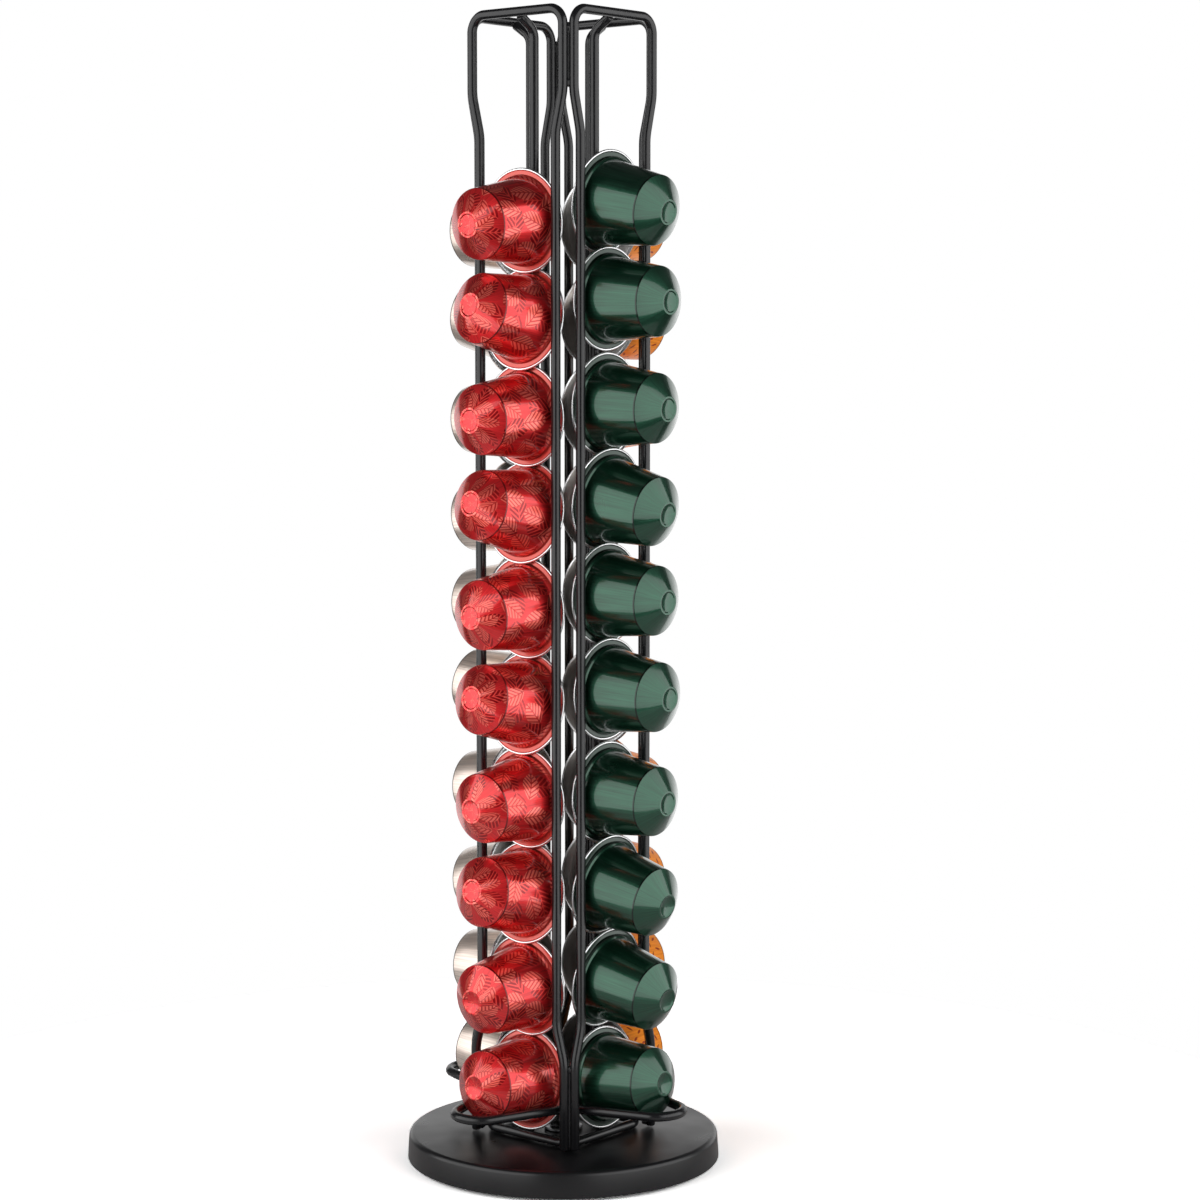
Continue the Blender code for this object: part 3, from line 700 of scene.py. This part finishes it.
def backdrop():
    """A world with a low white wall behind the object, dim elsewhere, and white wherever the camera sees it."""
    world = bpy.data.worlds.new("studio")
    bpy.context.scene.world = world
    world.use_nodes = True
    tree = world.node_tree
    tree.nodes.clear()
    way = add_node(tree, "ShaderNodeTexCoord").outputs["Generated"]
    parts = add_node(tree, "ShaderNodeSeparateXYZ", {"Vector": way}).outputs
    middle = CAMERA_RIGHT * math.sin(WALL_TURN) - TO_CAMERA * math.cos(WALL_TURN)
    behind = calc(tree, "ADD", calc(tree, "MULTIPLY", parts[0], middle.x), calc(tree, "MULTIPLY", parts[1], middle.y))
    wall = calc(tree, "MULTIPLY", smooth_step(tree, behind, *WALL_SIDES), smooth_step(tree, parts[2], *WALL_TOP))
    level = calc(tree, "ADD", calc(tree, "MULTIPLY", wall, 1 - DIM), DIM)
    path = add_node(tree, "ShaderNodeLightPath").outputs
    seen = calc(tree, "MAXIMUM", level, path["Is Camera Ray"])
    back = add_node(tree, "ShaderNodeBackground", {"Color": (1, 1, 1, 1), "Strength": seen})
    add_node(tree, "ShaderNodeOutputWorld", {"Surface": back.outputs[0]})


def table_top():
    """A round table top that looks white to the camera and keeps the object's shadow."""
    form = bmesh.new()
    bmesh.ops.create_circle(form, cap_ends=True, segments=96, radius=TABLE_RADIUS)
    mesh = bpy.data.meshes.new("table")
    form.to_mesh(mesh)
    form.free()
    table = link("table", mesh)
    table.location.z = -TABLE_DROP
    material = bpy.data.materials.new("table")
    material.use_nodes = True
    tree = material.node_tree
    tree.nodes.clear()
    path = add_node(tree, "ShaderNodeLightPath").outputs
    plain = add_node(tree, "ShaderNodeBsdfDiffuse", {"Color": TABLE_COLOUR})
    seen = add_node(tree, "ShaderNodeBsdfDiffuse", {"Color": TABLE_SHOWN})
    both = add_node(tree, "ShaderNodeMixShader", {0: path["Is Camera Ray"], 1: plain.outputs[0], 2: seen.outputs[0]})
    add_node(tree, "ShaderNodeOutputMaterial", {"Surface": both.outputs[0]})
    mesh.materials.append(material)


photograph_camera()
side_panels()
backdrop()
table_top()
bpy.context.scene.view_settings.view_transform = "Standard"
wires()
weld_beads()
place_capsules()
base()
